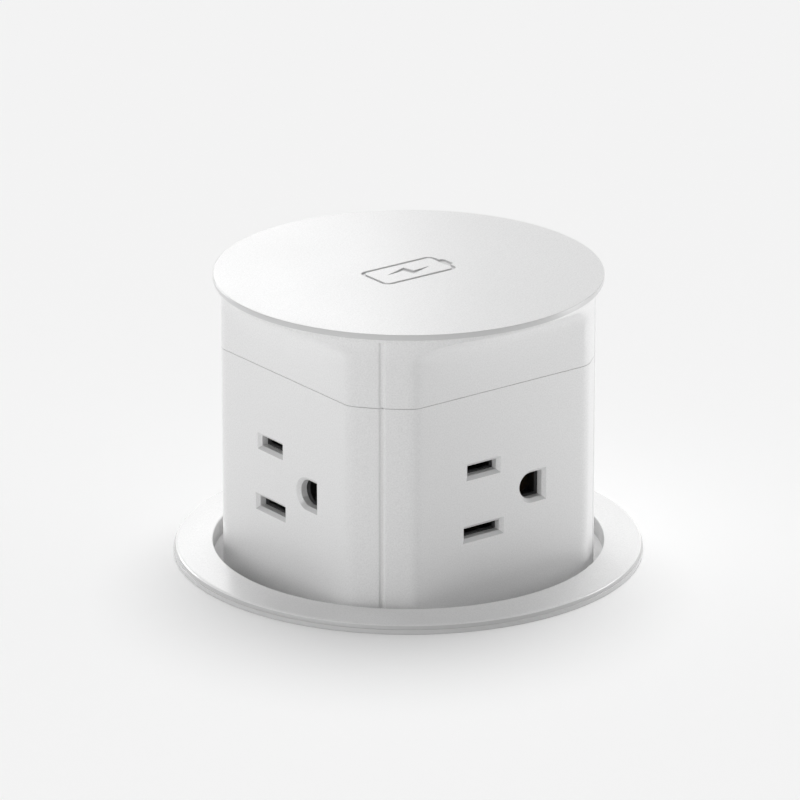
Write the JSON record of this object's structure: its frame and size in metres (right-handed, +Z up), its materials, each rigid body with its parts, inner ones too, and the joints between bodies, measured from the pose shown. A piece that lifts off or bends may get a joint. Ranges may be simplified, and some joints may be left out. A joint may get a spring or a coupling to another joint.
{
  "type": "pop up desk socket",
  "caption": "Round pop up desk socket: a sprung square tower with outlets and USB ports rises through a desk flange, clamped by a ring nut below.",
  "frame": {"origin": "middle of the desk hole, level with the desk's surface", "axes": "+Z up along the tower's travel, -Y out of the front outlet's face, -X out of the left outlet's face"},
  "size_m": [0.104, 0.104, 0.1623],
  "materials": {
    "white_shell": "satin moulded white plastic with a fine grain",
    "white_frame": "plain moulded white plastic",
    "white_casing": "matt moulded white plastic",
    "black_block": "dark moulded plastic",
    "foam": "closed cell foam",
    "zinc_screw": "zinc plated steel",
    "spring_steel": "drawn spring steel wire",
    "latch_steel": "pressed steel",
    "brass_contact": "pressed brass",
    "usb_metal": "nickel plated steel",
    "usb_tongue": "black plastic",
    "circuit_board": "green solder mask",
    "ferrite": "dark sintered ferrite",
    "copper": "enamelled copper wire",
    "acetal": "natural acetal",
    "black_nylon": "black nylon"
  },
  "bodies": {
    "casing": {"flange_ring": "white_shell", "desk_gasket": "foam", "casing_tube": "white_casing", "bottom_cap": "white_casing", "cap_screws": "zinc_screw", "cord_gland": "black_nylon", "gland_nut": "black_nylon", "lift_spring": "spring_steel", "damper_rack": "acetal", "latch_housing": "latch_steel", "latch_pins": "spring_steel", "latch_screws": "zinc_screw"},
    "tower": {"lid_top": "white_shell", "lid_base": "white_shell", "charging_coil": "copper", "ferrite_disc": "ferrite", "charger_board": "circuit_board", "upper_collar": "white_shell", "tower_core": "white_frame", "tower_base": "white_frame", "base_screws": "zinc_screw", "strike": "latch_steel", "damper_housing": "black_nylon", "usb_panel": "white_shell", "usb_board": "circuit_board", "usb_a_shells": "usb_metal", "usb_a_tongues": "usb_tongue", "usb_c_shell": "usb_metal", "usb_c_tongue": "usb_tongue", "line_busbar": "brass_contact", "neutral_busbar": "brass_contact", "ground_busbar": "brass_contact", "outlet_panel_front": "white_shell", "socket_face_front": "black_block", "socket_block_front": "black_block", "contacts_front": "brass_contact", "face_screws_front": "zinc_screw", "outlet_panel_left": "white_shell", "socket_face_left": "black_block", "socket_block_left": "black_block", "contacts_left": "brass_contact", "face_screws_left": "zinc_screw", "outlet_panel_right": "white_shell", "socket_face_right": "black_block", "socket_block_right": "black_block", "contacts_right": "brass_contact", "face_screws_right": "zinc_screw"},
    "damper_pinion": {"damper_pinion": "acetal"},
    "latch_jaw_left": {"latch_jaw_left": "latch_steel"},
    "latch_jaw_right": {"latch_jaw_right": "latch_steel"},
    "clamp_washer": {"clamp_washer": "white_casing"},
    "ring_nut": {"ring_nut": "white_casing"}
  },
  "joints": [
    {"name": "lift", "type": "slide", "parent": "casing", "child": "tower", "axis": [0, 0, 1], "range_m": [-0.05651, 0], "stiffness_N_per_m": 60, "springref_m": 0.12, "deforming": ["lift_spring"]},
    {"name": "damper_spin", "type": "hinge", "parent": "tower", "child": "damper_pinion", "pos_m": [0, 0.0338, -0.0165], "axis": [0, 1, 0], "range_deg": [-450, 0]},
    {"name": "latch_left_close", "type": "hinge", "parent": "casing", "child": "latch_jaw_left", "pos_m": [-0.0056, 0, -0.09701], "axis": [0, 1, 0], "range_deg": [0, 12], "stiffness_Nm_per_rad": 0.02, "springref_deg": -17.19},
    {"name": "latch_right_close", "type": "hinge", "parent": "casing", "child": "latch_jaw_right", "pos_m": [0.0056, 0, -0.09701], "axis": [0, 1, 0], "range_deg": [-12, 0], "stiffness_Nm_per_rad": 0.02, "springref_deg": 17.19},
    {"name": "nut_climb", "type": "slide", "parent": "casing", "child": "clamp_washer", "axis": [0, 0, 1], "range_m": [-0.025, 0.013]},
    {"name": "nut_turn", "type": "hinge", "parent": "clamp_washer", "child": "ring_nut", "pos_m": [0, 0, -0.034], "axis": [0, 0, 1], "range_deg": [-2248, 1168]}
  ],
  "couplings": [
    {"joint": "damper_spin", "follows": "lift", "rad_per_m": 138.89},
    {"joint": "latch_right_close", "follows": "latch_left_close", "ratio": -1},
    {"joint": "nut_climb", "follows": "nut_turn", "m_per_rad": 0.00063662}
  ]
}
